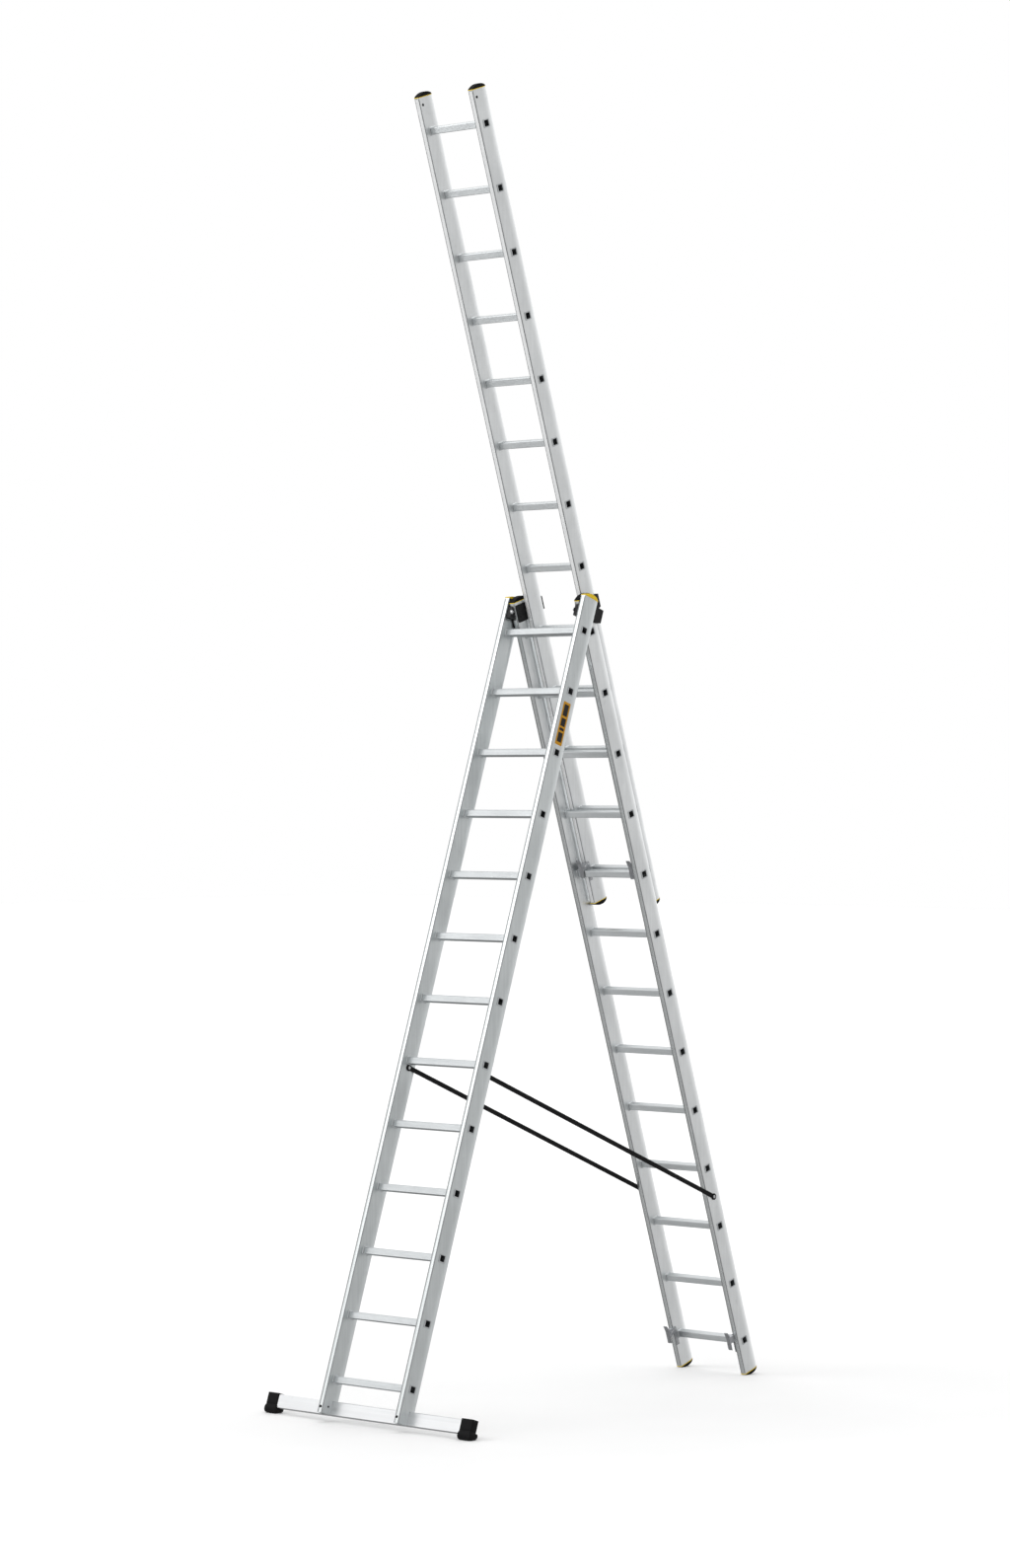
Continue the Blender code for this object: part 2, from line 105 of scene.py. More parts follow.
class Nodes:
    """Short forms for building one node tree."""

    def __init__(self, name):
        self.mat = bpy.data.materials.new(name)
        self.mat.use_nodes = True
        self.tree = self.mat.node_tree
        self.bsdf = self.tree.nodes["Principled BSDF"]
        self.coord = self.tree.nodes.new("ShaderNodeTexCoord")

    def link(self, a, b):
        self.tree.links.new(a, b)

    def put(self, socket, value):
        if hasattr(value, "is_output"):
            self.link(value, socket)
        else:
            socket.default_value = value

    def scaled(self, scale, turn=0.0):
        mapping = self.tree.nodes.new("ShaderNodeMapping")
        mapping.inputs["Scale"].default_value = scale
        mapping.inputs["Rotation"].default_value = (turn, 0.0, 0.0)
        self.link(self.coord.outputs["Object"], mapping.inputs["Vector"])
        return mapping.outputs["Vector"]

    def noise(self, scale, detail=3.0, rough=0.55, stretch=(1.0, 1.0, 1.0), turn=0.0):
        node = self.tree.nodes.new("ShaderNodeTexNoise")
        node.inputs["Scale"].default_value = scale
        node.inputs["Detail"].default_value = detail
        node.inputs["Roughness"].default_value = rough
        self.link(self.scaled(stretch, turn), node.inputs["Vector"])
        return node.outputs["Fac"]

    def voronoi(self, scale):
        node = self.tree.nodes.new("ShaderNodeTexVoronoi")
        node.inputs["Scale"].default_value = scale
        self.link(self.scaled((1.0, 1.0, 1.0)), node.inputs["Vector"])
        return node.outputs["Distance"]

    def ramp(self, factor, *stops):
        node = self.tree.nodes.new("ShaderNodeValToRGB")
        ramp = node.color_ramp
        while len(ramp.elements) < len(stops):
            ramp.elements.new(0.5)
        for element, (place, colour) in zip(ramp.elements, stops):
            element.position = place
            element.color = (*colour, 1.0) if len(colour) == 3 else colour
        self.link(factor, node.inputs["Fac"])
        return node.outputs["Color"]

    def grey(self, factor, low, high, start=0.3, end=0.7):
        node = self.tree.nodes.new("ShaderNodeMapRange")
        node.inputs["From Min"].default_value = start
        node.inputs["From Max"].default_value = end
        node.inputs["To Min"].default_value = low
        node.inputs["To Max"].default_value = high
        self.link(factor, node.inputs["Value"])
        return node.outputs["Result"]

    def math(self, operation, a, b):
        node = self.tree.nodes.new("ShaderNodeMath")
        node.operation = operation
        self.put(node.inputs[0], a)
        self.put(node.inputs[1], b)
        return node.outputs[0]

    def mix(self, factor, a, b, blend="MIX"):
        node = self.tree.nodes.new("ShaderNodeMix")
        node.data_type = "RGBA"
        node.blend_type = blend
        self.put(node.inputs[0], factor)
        for socket, value in ((node.inputs[6], a), (node.inputs[7], b)):
            self.put(socket, value if hasattr(value, "is_output") else (*value, 1.0))
        return node.outputs[2]

    def edge(self, low=0.53, high=0.64):
        """1 along worn convex edges, 0 on flats. It needs a finely divided mesh."""
        node = self.tree.nodes.new("ShaderNodeNewGeometry")
        return self.grey(node.outputs["Pointiness"], 0.0, 1.0, low, high)

    def bump(self, height, strength, distance):
        node = self.tree.nodes.new("ShaderNodeBump")
        node.inputs["Strength"].default_value = strength
        node.inputs["Distance"].default_value = distance
        self.link(height, node.inputs["Height"])
        self.link(node.outputs["Normal"], self.bsdf.inputs["Normal"])

    def surface(self, colour, rough, metallic=0.0, **more):
        self.put(self.bsdf.inputs["Base Color"], colour)
        self.put(self.bsdf.inputs["Roughness"], rough)
        self.bsdf.inputs["Metallic"].default_value = metallic
        for name, value in more.items():
            self.bsdf.inputs[name.replace("_", " ")].default_value = value
        return self.mat


def aluminium(name, light, dark, turn, stretch, rough=(0.30, 0.44), metallic=1.0):
    """Extruded aluminium: die lines along its length, faint handling marks and a soft oxide mottle."""
    n = Nodes(name)
    lines = n.noise(420.0, 2.0, 0.6, stretch, turn)
    broad = n.noise(90.0, 3.0, 0.5, stretch, turn)
    mottle = n.noise(5.0, 4.0, 0.6)
    scuffs = n.ramp(n.noise(34.0, 6.0, 0.72), (0.60, (0, 0, 0)), (0.70, (1, 1, 1)))
    tone = n.mix(n.grey(broad, 0.0, 1.0), dark, light)
    tone = n.mix(n.grey(mottle, 0.0, 0.30), tone, tuple(c * 0.86 for c in dark))
    tone = n.mix(n.math("MULTIPLY", scuffs, 0.16), tone, tuple(c * 0.66 for c in dark))
    gloss = n.math("ADD", n.grey(mottle, *rough), n.math("MULTIPLY", scuffs, 0.10))
    height = n.math("ADD", n.math("MULTIPLY", lines, 0.5), n.math("MULTIPLY", broad, 0.5))
    n.bump(height, 0.22, 0.0004)
    return n.surface(tone, gloss, metallic)


def along(section):
    """Turn and stretch that draw texture lines along a section's stiles."""
    angle = math.atan2(section.down.y, -section.down.z)
    return angle, (1.0, 1.0, 0.012)


def plastic(name, colour, rough=(0.38, 0.52), grain=900.0, gloss=0.42):
    """Moulded plastic with a fine leather-like grain, dust in the low places and scuffed edges."""
    n = Nodes(name)
    fine = n.noise(grain, 2.0, 0.5)
    dust = n.noise(22.0, 5.0, 0.65)
    dusty = tuple(min(1.0, c * 1.4 + 0.008) for c in colour)
    scuffed = tuple(min(1.0, c * 1.5 + 0.02) for c in colour)
    tone = n.mix(n.grey(dust, 0.0, 0.30, 0.42, 0.72), colour, dusty)
    tone = n.mix(n.math("MULTIPLY", n.edge(), 0.20), tone, scuffed)
    n.bump(fine, 0.25, 0.0003)
    return n.surface(tone, n.grey(dust, *rough), 0.0, Specular_IOR_Level=gloss)


def steel(name, colour, worn, rough, metallic, gloss=0.5):
    """Coated steel: orange-peel coat, chips at the edges and a little grime."""
    n = Nodes(name)
    peel = n.noise(260.0, 2.0, 0.5)
    grime = n.noise(18.0, 5.0, 0.66)
    tone = n.mix(n.grey(grime, 0.0, 0.45, 0.40, 0.72), colour, tuple(c * 0.62 for c in colour))
    chips = n.ramp(n.noise(120.0, 4.0, 0.7), (0.64, (0, 0, 0)), (0.68, (1, 1, 1)))
    tone = n.mix(n.math("MULTIPLY", chips, 0.25), tone, worn)
    tone = n.mix(n.math("MULTIPLY", n.edge(), 0.60), tone, worn)
    n.bump(peel, 0.22, 0.0004)
    return n.surface(tone, n.grey(grime, *rough), metallic, Specular_IOR_Level=gloss)


def spangled(name):
    """Zinc plating: crystal patches of slightly different tone."""
    n = Nodes(name)
    cells = n.voronoi(190.0)
    haze = n.noise(26.0, 5.0, 0.6)
    tone = n.mix(n.grey(cells, 0.0, 1.0, 0.1, 0.6), (0.34, 0.35, 0.37), (0.52, 0.53, 0.55))
    tone = n.mix(n.grey(haze, 0.0, 0.5, 0.45, 0.75), tone, (0.22, 0.22, 0.23))
    tone = n.mix(n.math("MULTIPLY", n.edge(), 0.50), tone, (0.70, 0.71, 0.72))
    n.bump(n.math("ADD", cells, haze), 0.18, 0.0004)
    return n.surface(tone, n.grey(haze, 0.30, 0.50), 0.95)


def rubber(name):
    """Dull black rubber, pebbled, with pale dust worked into the sole."""
    n = Nodes(name)
    pebble = n.voronoi(520.0)
    dust = n.noise(30.0, 6.0, 0.7)
    place = n.tree.nodes.new("ShaderNodeSeparateXYZ")
    n.link(n.coord.outputs["Object"], place.inputs[0])
    low = n.grey(place.outputs["Z"], 1.0, 0.0, 0.0, 0.030)
    tone = n.mix(n.grey(dust, 0.0, 0.6, 0.40, 0.75), (0.005, 0.005, 0.0055), (0.012, 0.012, 0.0125))
    tone = n.mix(n.math("MULTIPLY", low, n.grey(dust, 0.0, 0.25, 0.48, 0.72)), tone, (0.060, 0.057, 0.053))
    tone = n.mix(n.math("MULTIPLY", n.edge(), 0.20), tone, (0.030, 0.030, 0.031))
    n.bump(n.math("ADD", pebble, n.math("MULTIPLY", dust, 0.5)), 0.30, 0.0004)
    return n.surface(tone, n.grey(dust, 0.58, 0.78), 0.0, Specular_IOR_Level=0.14)


def webbing(name):
    """Woven polyester: warp cords shown by the mesh, with the weft's fine steps across them."""
    n = Nodes(name)
    wave = n.tree.nodes.new("ShaderNodeTexWave")
    wave.bands_direction = "Y"
    wave.inputs["Scale"].default_value = 190.0
    wave.inputs["Distortion"].default_value = 0.8
    n.link(n.coord.outputs["Object"], wave.inputs["Vector"])
    fuzz = n.noise(700.0, 3.0, 0.6)
    fade = n.noise(9.0, 4.0, 0.6)
    weft = n.grey(wave.outputs["Fac"], 0.0, 1.0, 0.2, 0.8)
    tone = n.mix(weft, (0.003, 0.003, 0.0035), (0.013, 0.013, 0.014))
    tone = n.mix(n.grey(fade, 0.0, 0.35, 0.45, 0.75), tone, (0.018, 0.0175, 0.017))
    n.bump(n.math("ADD", wave.outputs["Fac"], n.math("MULTIPLY", fuzz, 0.6)), 0.5, 0.0006)
    return n.surface(tone, 0.82, 0.0, Specular_IOR_Level=0.12, Sheen_Weight=0.02, Sheen_Roughness=0.4)


def label_print(name):
    """A plain coloured sticker, rubbed pale in patches."""
    n = Nodes(name)
    rub = n.noise(55.0, 6.0, 0.7)
    tone = n.mix(n.grey(rub, 0.0, 0.35, 0.45, 0.75), (0.50, 0.235, 0.006), (0.54, 0.27, 0.016))
    n.bump(n.noise(600.0), 0.10, 0.0002)
    gloss = n.grey(rub, 0.26, 0.42)
    return n.surface(tone, gloss, 0.0, Specular_IOR_Level=0.18, Coat_Weight=0.04, Coat_Roughness=0.2)


FRONT_ALU = aluminium("front_extrusion", (0.80, 0.835, 0.84), (0.72, 0.755, 0.76), *along(FRONT))
TRIM_FRONT = aluminium(
    "front_trim", (0.80, 0.83, 0.835), (0.72, 0.75, 0.755), *along(FRONT), (0.20, 0.30)
)
# A lighter, less metallic copy of the rear trim: painted reflection of the bright floor on the extension's
# crowns.
TRIM_EXTENSION_PAINTED_REFLECTION = aluminium(
    "extension_trim", (0.95, 0.96, 0.965), (0.88, 0.89, 0.895), *along(REAR), (0.22, 0.32), 0.35
)
# Dark aluminium for the beads along the stiles' front edges: painted shade standing in for the shadow lines
# of the extrusion's edge grooves.
GROOVE_SHADE_ALU = aluminium(
    "edge_line", (0.44, 0.455, 0.46), (0.34, 0.352, 0.358), *along(REAR), (0.30, 0.42)
)
TRIM_REAR = aluminium(
    "rear_trim", (0.82, 0.845, 0.85), (0.74, 0.765, 0.77), *along(REAR), (0.20, 0.30), 0.85
)
# The same aluminium as the front extrusion with a lighter base: painted light on the rear and extension
# stiles' sides.
REAR_ALU_PAINTED_LIGHT = aluminium("rear_extrusion_painted_light", (0.955, 0.975, 0.98), (0.885, 0.905, 0.91), *along(REAR))
RUNG_ALU = aluminium(
    "rung_extrusion", (0.70, 0.725, 0.735), (0.62, 0.645, 0.655), 0.0, (0.012, 1.0, 1.0), (0.28, 0.40)
)
BAR_ALU = aluminium(
    "bar_extrusion", (0.88, 0.89, 0.90), (0.80, 0.81, 0.82), 0.0, (0.012, 1.0, 1.0), (0.26, 0.40)
)
BLACK_STEEL = steel(
    "black_coat", (0.009, 0.009, 0.010), (0.10, 0.10, 0.105), (0.38, 0.55), 0.0, 0.22
)
ZINC = spangled("zinc_plate")
BRIGHT = steel("bright_zinc", (0.66, 0.67, 0.68), (0.85, 0.85, 0.86), (0.20, 0.36), 1.0)
DARK_RIVET = steel(
    "dark_rivet", (0.014, 0.014, 0.015), (0.040, 0.040, 0.042), (0.40, 0.55), 0.0, 0.10
)
BLACK_PLASTIC = plastic("cap_black", (0.006, 0.006, 0.0065), (0.52, 0.66), gloss=0.07)
YELLOW_PLASTIC = plastic("cap_yellow", (0.72, 0.50, 0.012), gloss=0.25)
RUBBER = rubber("boot_rubber_black")
WEB = webbing("strap_weave")
AMBER = label_print("label_amber")
LABEL_DARK = plastic("label_dark", (0.014, 0.012, 0.010), (0.30, 0.42), gloss=0.18)


# ---------------------------------------------------------------- mesh helpers


def rings_to(bm, rings, closed=False, caps=True):
    made = [[bm.verts.new(p) for p in ring] for ring in rings]
    pairs = list(zip(made, made[1:]))
    if closed:
        pairs.append((made[-1], made[0]))
    for low, high in pairs:
        for i in range(len(low)):
            j = (i + 1) % len(low)
            bm.faces.new((low[i], low[j], high[j], high[i]))
    if caps and not closed:
        bm.faces.new(list(reversed(made[0])))
        bm.faces.new(made[-1])
    return made


def piece(name, bm, mats, body=None, smooth=35.0):
    """Finishes a mesh into an object: normals, shading by angle, materials and body."""
    bmesh.ops.recalc_face_normals(bm, faces=bm.faces)
    limit = math.radians(smooth)
    for edge in bm.edges:
        edge.smooth = len(edge.link_faces) == 2 and edge.calc_face_angle(0.0) < limit
    for face in bm.faces:
        face.smooth = True
    mesh = bpy.data.meshes.new(name)
    bm.to_mesh(mesh)
    bm.free()
    for mat in mats if isinstance(mats, (list, tuple)) else [mats]:
        mesh.materials.append(mat)
    obj = bpy.data.objects.new(name, mesh)
    bpy.context.scene.collection.objects.link(obj)
    if body:
        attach(obj, body)
    return obj


def add_bevel(obj, width, segments=2):
    modifier = obj.modifiers.new("Bevel", "BEVEL")
    modifier.width = width
    modifier.segments = segments
    modifier.limit_method = "ANGLE"
    modifier.angle_limit = math.radians(32.0)


def paint(node, mat):
    """Gives a CAD node its material."""
    node.data.materials.clear()
    node.data.materials.append(mat)


def rounded(half_a, half_b, radius, steps=4):
    """A rounded rectangle as (a, b) points."""
    radius = min(radius, half_a, half_b)
    points = []
    for k, (sa, sb) in enumerate(((1, 1), (-1, 1), (-1, -1), (1, -1))):
        for i in range(steps + 1):
            turn = math.pi / 2 * (k + i / steps)
            points.append(
                (
                    sa * (half_a - radius) + radius * math.cos(turn),
                    sb * (half_b - radius) + radius * math.sin(turn),
                )
            )
    return points


def across(section, out, down, outline, x):
    """An (out, down) outline placed at one x."""
    return [section.point(x, out + a, down + b) for a, b in outline]


def stile_outline(grow=0.0, steps=20, sides=12):
    """The stile's cross-section as (x, out): flat front, full round rear."""
    half_w = STILE_W / 2 + grow
    front = STILE_FRONT + grow
    rear = STILE_REAR + grow
    corner = 0.0025 + max(grow, -0.0016)
    points = []
    for k, sx in ((0, 1), (1, -1)):
        for i in range(4):
            turn = math.pi / 2 * (k + i / 3)
            points.append(
                (sx * (half_w - corner) + corner * math.cos(turn), front - corner + corner * math.sin(turn))
            )
    nose = NOSE_D + grow
    shoulder = nose - rear
    straight = [front - corner + (shoulder - front + corner) * i / (sides + 1) for i in range(1, sides + 1)]
    points += [(-half_w, y) for y in straight]
    for i in range(steps + 1):
        turn = math.pi * (1 + i / steps)
        points.append((half_w * math.cos(turn), shoulder + nose * math.sin(turn)))
    points += [(half_w, y) for y in reversed(straight)]
    return points


def revolve(bm, origin, axis, side, profile, steps=20):
    """A lathe form: profile is (distance along axis, radius). Pointed ends are closed."""
    axis = axis.normalized()
    side = side.normalized()
    other = axis.cross(side)
    rings = []
    for reach, radius in profile:
        ring = []
        for i in range(steps):
            turn = 2 * math.pi * i / steps
            ring.append(origin + axis * reach + (side * math.cos(turn) + other * math.sin(turn)) * radius)
        rings.append(ring)
    rings_to(bm, rings)


DOME_RIVET = ((0.0, 1.0), (0.14, 1.0), (0.30, 0.93), (0.44, 0.76), (0.54, 0.50), (0.58, 0.20), (0.585, 0.02))


def rivet(bm, origin, axis, side, radius, height=1.0):
    profile = [(-0.0008, radius)] + [(a * radius * height, b * radius) for a, b in DOME_RIVET]
    revolve(bm, origin, axis, side, profile)


def hexagon_bolt(bm, origin, axis, side, radius, thick, washer=None):
    """A bolt head with chamfered corners, on a washer if one is asked for."""
    base = 0.0
    if washer:
        revolve(
            bm, origin, axis, side,
            ((-0.0006, washer), (0.0010, washer), (0.0014, washer - 0.0004), (0.0014, radius * 0.9)), 28,
        )
        base = 0.0013
    revolve(
        bm, origin, axis, side,
        (
            (base, radius),
            (base + thick * 0.78, radius),
            (base + thick, radius * 0.84),
            (base + thick, radius * 0.30),
        ),
        6,
    )
    stud = ((base + thick - 0.0004, radius * 0.42), (base + thick + 0.0016, radius * 0.38))
    revolve(bm, origin, axis, side, stud, 16)


# ---------------------------------------------------------------- rungs

GROOVE = 0.0007
CORNER_CUT = 0.0009


def rung_profile():
    """A square tube's outline as (out, down), with fine grooves on the tread, front and back."""
    half = RUNG / 2
    points = []
    # Each face: (direction along the face, direction outward), walked round the tube.
    faces = (
        ((0.0, -1.0), (1.0, 0.0)),
        ((-1.0, 0.0), (0.0, -1.0)),
        ((0.0, 1.0), (-1.0, 0.0)),
        ((1.0, 0.0), (0.0, 1.0)),
    )
    flat = half - 0.0030
    ribs = 7
    for (ta, tb), (na, nb) in faces:
        for i in range(ribs * 4 + 1):
            s = -flat + 2 * flat * i / (ribs * 4)
            dip = GROOVE if i % 4 in (2, 3) and 0 < i < ribs * 4 else 0.0
            points.append((ta * s + na * (half - dip), tb * s + nb * (half - dip)))
        # The corner, cut back a little.
        reach = half - CORNER_CUT
        points.append((ta * reach + na * reach, tb * reach + nb * reach))
    return points


def resample(points, target):
    """Puts another outline at the same angles as target's points."""
    made = []
    n = len(points)
    for ta, tb in target:
        angle = math.atan2(tb, ta)
        direction = (math.cos(angle), math.sin(angle))
        best = None
        for i in range(n):
            (ax, ay), (bx, by) = points[i], points[(i + 1) % n]
            ex, ey = bx - ax, by - ay
            det = -direction[0] * ey + direction[1] * ex
            if abs(det) < 1e-12:
                continue
            r = (-ax * ey + ay * ex) / det
            s = (direction[0] * ay - direction[1] * ax) / det
            if r > 0 and -1e-6 <= s <= 1 + 1e-6 and (best is None or r > best):
                best = r
        made.append((direction[0] * best, direction[1] * best))
    return made


PROFILE = rung_profile()
COLLAR_OUT = resample(rounded(0.0215, 0.0190, 0.007, 6), PROFILE)
COLLAR_MID = resample(rounded(0.0205, 0.0180, 0.007, 6), PROFILE)
COLLAR_TOP = resample(rounded(0.0168, 0.0160, 0.004, 6), PROFILE)
RIM_OUT = resample(rounded(0.0205, 0.0185, 0.006, 6), PROFILE)
RIM_MID = resample(rounded(0.0190, 0.0170, 0.005, 6), PROFILE)
PLAIN = resample(rounded(RUNG / 2, RUNG / 2, 0.0030, 3), PROFILE)
INNER = resample(rounded(BORE / 2, BORE / 2, 0.0024, 3), PROFILE)


def make_rung(section, number):
    """One tube with a swaged collar against each stile and a rolled rim outside."""
    down = section.rung(number)
    inner = section.half - STILE_W
    outer = section.half

    def ring(outline, x):
        return across(section, section.centre, down, outline, x)

    def half_rings(s):
        return [
            ring(INNER, s * (outer + 0.0006)),
            ring(RIM_MID, s * (outer + 0.0013)),
            ring(RIM_OUT, s * (outer + 0.0009)),
            ring(RIM_OUT, s * (outer + 0.0003)),
            ring(PLAIN, s * (outer + 0.0003)),
            ring(PLAIN, s * (inner - 0.0002)),
            ring(COLLAR_OUT, s * (inner - 0.0003)),
            ring(COLLAR_OUT, s * (inner - 0.0012)),
            ring(COLLAR_MID, s * (inner - 0.0030)),
            ring(COLLAR_TOP, s * (inner - 0.0046)),
            ring(PROFILE, s * (inner - 0.0052)),
        ]

    left = half_rings(-1)
    right = list(reversed(half_rings(1)))
    bm = bmesh.new()
    rings_to(bm, left + right, closed=True)
    name = f"{section.name}_rung_{number:02d}"
    obj = piece(name + "_tube", bm, RUNG_ALU, section.body, smooth=40.0)
    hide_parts(name)


for part in SECTIONS:
    for count in range(1, RUNGS + 1):
        make_rung(part, count)


# ---------------------------------------------------------------- stiles

CROWN_HALF = 0.0094
CROWN_END = 0.0045
BAR_CLEAR = 0.0012
EDGE_HALF = 0.0120
EDGE_H = 0.0010
CROWN_H = 0.0017


def make_stile_crown(section, side, sign):
    """The shallow crowned front of an extruded stile, with a narrow bead at each edge coloured dark as
    painted shade of a groove.
    """
    centre_x = sign * (section.half - STILE_W / 2)
    front = section.centre + STILE_FRONT
    steps = 18
    outline = [(centre_x + CROWN_HALF, front - 0.0002), (centre_x + CROWN_HALF, front + 0.0004)]
    for k in range(steps + 1):
        x = CROWN_HALF * (0.94 - 1.88 * k / steps)
        outline.append((centre_x + x, front + 0.0004 + (CROWN_H - 0.0004) * (1 - (x / CROWN_HALF) ** 2)))
    outline += [(centre_x - CROWN_HALF, front + 0.0004), (centre_x - CROWN_HALF, front - 0.0002)]
    low = section.top + CROWN_END
    high = section.bottom - CROWN_END
    if section is FRONT:
        high = section.bottom - BAR_CLEAR
    bm = bmesh.new()
    spans = 24
    rings_to(
        bm,
        [
            [section.point(x, out, low + (high - low) * k / spans) for x, out in outline]
            for k in range(spans + 1)
        ],
    )
    mat = {"front": TRIM_FRONT, "rear": TRIM_REAR, "extension": TRIM_EXTENSION_PAINTED_REFLECTION}[section.name]
    piece(f"{section.name}_crown_{side}", bm, mat, section.body, smooth=30.0)
    bm = bmesh.new()
    for edge in (-1, 1):
        inner, outer = centre_x + edge * CROWN_HALF, centre_x + edge * EDGE_HALF
        bead = (
            (inner, front - 0.0015),
            (inner, front + EDGE_H * 0.7),
            (inner + (outer - inner) * 0.3, front + EDGE_H),
            (inner + (outer - inner) * 0.7, front + EDGE_H * 0.8),
            (outer, front + EDGE_H * 0.1),
            (outer, front - 0.0015),
        )
        rings_to(
            bm,
            [
                [section.point(x, out, low + (high - low) * k / spans) for x, out in bead]
                for k in range(spans + 1)
            ],
        )
    # The edge beads take the dark aluminium, painted shade standing in for groove shadows.
    piece(f"{section.name}_edge_lines_{side}", bm, GROOVE_SHADE_ALU, section.body, smooth=50.0)


for part in SECTIONS:
    for side_name, side_sign in SIDES:
        make_stile_crown(part, side_name, side_sign)
        # The rear and extension stiles take the lightened copy, which is painted light.
        paint(NODES[f"{part.name}_stile_{side_name}"], FRONT_ALU if part is FRONT else REAR_ALU_PAINTED_LIGHT)


# ---------------------------------------------------------------- end caps


def make_cap(name, section, sign, end, toward, dome, mats, rim, node=None):
    """A domed end cap with a thin coloured rim. toward is -1 at a stile's top and 1 at its bottom."""
    centre_x = sign * (section.half - STILE_W / 2)
    half = (STILE_FRONT + STILE_REAR) / 2 + 0.0008
    middle = (STILE_FRONT - STILE_REAR) / 2
    bm = bmesh.new()

    def flat(outline, reach):
        return [section.point(centre_x + x, section.centre + y, end + toward * reach) for x, y in outline]

    def bowed(outline, base, lift, shrink):
        ring = []
        for x, y in outline:
            x *= shrink
            y = middle + (y - middle) * (1 - (1 - shrink) * 0.30)
            rise = base + lift * max(0.0, 1 - ((y - middle) / half) ** 2) ** 0.9
            ring.append(section.point(centre_x + x, section.centre + y, end + toward * rise))
        return ring

    body = stile_outline(0.0008)
    lip = stile_outline(0.0014)
    rim_base = [
        flat(stile_outline(-0.0022), -0.012),
        flat(stile_outline(-0.0019), 0.0003),
        flat(lip, 0.0003),
        flat(lip, rim - 0.0004),
        flat(body, rim),
    ]
    rise = dome - rim
    crown = [bowed(body, rim, rise * t, 1.0) for t in (0.30, 0.62, 0.86)]
    crown += [
        bowed(body, rim, rise * 0.955, 0.96),
        bowed(body, rim, rise * 0.985, 0.86),
        bowed(body, rim, rise, 0.60),
        bowed(body, rim, rise, 0.25),
    ]
    made = rings_to(bm, rim_base + crown, caps=False)
    bm.faces.new(list(reversed(made[0])))
    close_strip(bm, made[-1])
    bm.faces.ensure_lookup_table()
    count = len(body)
    for i, face in enumerate(bm.faces):
        face.material_index = 1 if i < count * 4 else 0
    obj = piece(name, bm, mats, section.body, smooth=40.0)
    if node:
        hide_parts(node)


def close_strip(bm, ring):
    """Fills a stile-shaped ring with quads across it."""
    n = len(ring)
    low, high = 3, 4
    while low != high:
        a, b = ring[low % n], ring[high % n]
        c, d = ring[(high + 1) % n], ring[(low - 1) % n]
        corners = []
        for v in (a, b, c, d):
            if v not in corners:
                corners.append(v)
        if len(corners) > 2:
            bm.faces.new(corners)
        low = (low - 1) % n
        high = (high + 1) % n
        if low == high or (high + 1) % n == low:
            break


BLACK_CAP = (BLACK_PLASTIC, YELLOW_PLASTIC)
YELLOW_CAP = (YELLOW_PLASTIC, YELLOW_PLASTIC)

CAP_RIM = 0.003
FRONT_DOME = 0.019
DOME = 0.0205
SOLE_DOME = 0.0170

for side_name, side_sign in SIDES:
    for name, part, end, toward, dome, mats in (
        ("front_cap", FRONT, FRONT.top, -1, FRONT_DOME, YELLOW_CAP),
        ("rear_cap", REAR, REAR.top, -1, DOME, BLACK_CAP),
        ("extension_cap", EXTENSION, EXTENSION.top, -1, DOME, BLACK_CAP),
        ("extension_end", EXTENSION, EXTENSION.bottom, 1, DOME, BLACK_CAP),
    ):
        make_cap(f"{name}_{side_name}", part, side_sign, end, toward, dome, mats, CAP_RIM)
    make_cap(
        f"rear_sole_{side_name}", REAR, side_sign, REAR.bottom, 1, SOLE_DOME, BLACK_CAP, CAP_RIM,
        f"rear_foot_{side_name}",
    )


# ---------------------------------------------------------------- stabiliser boots

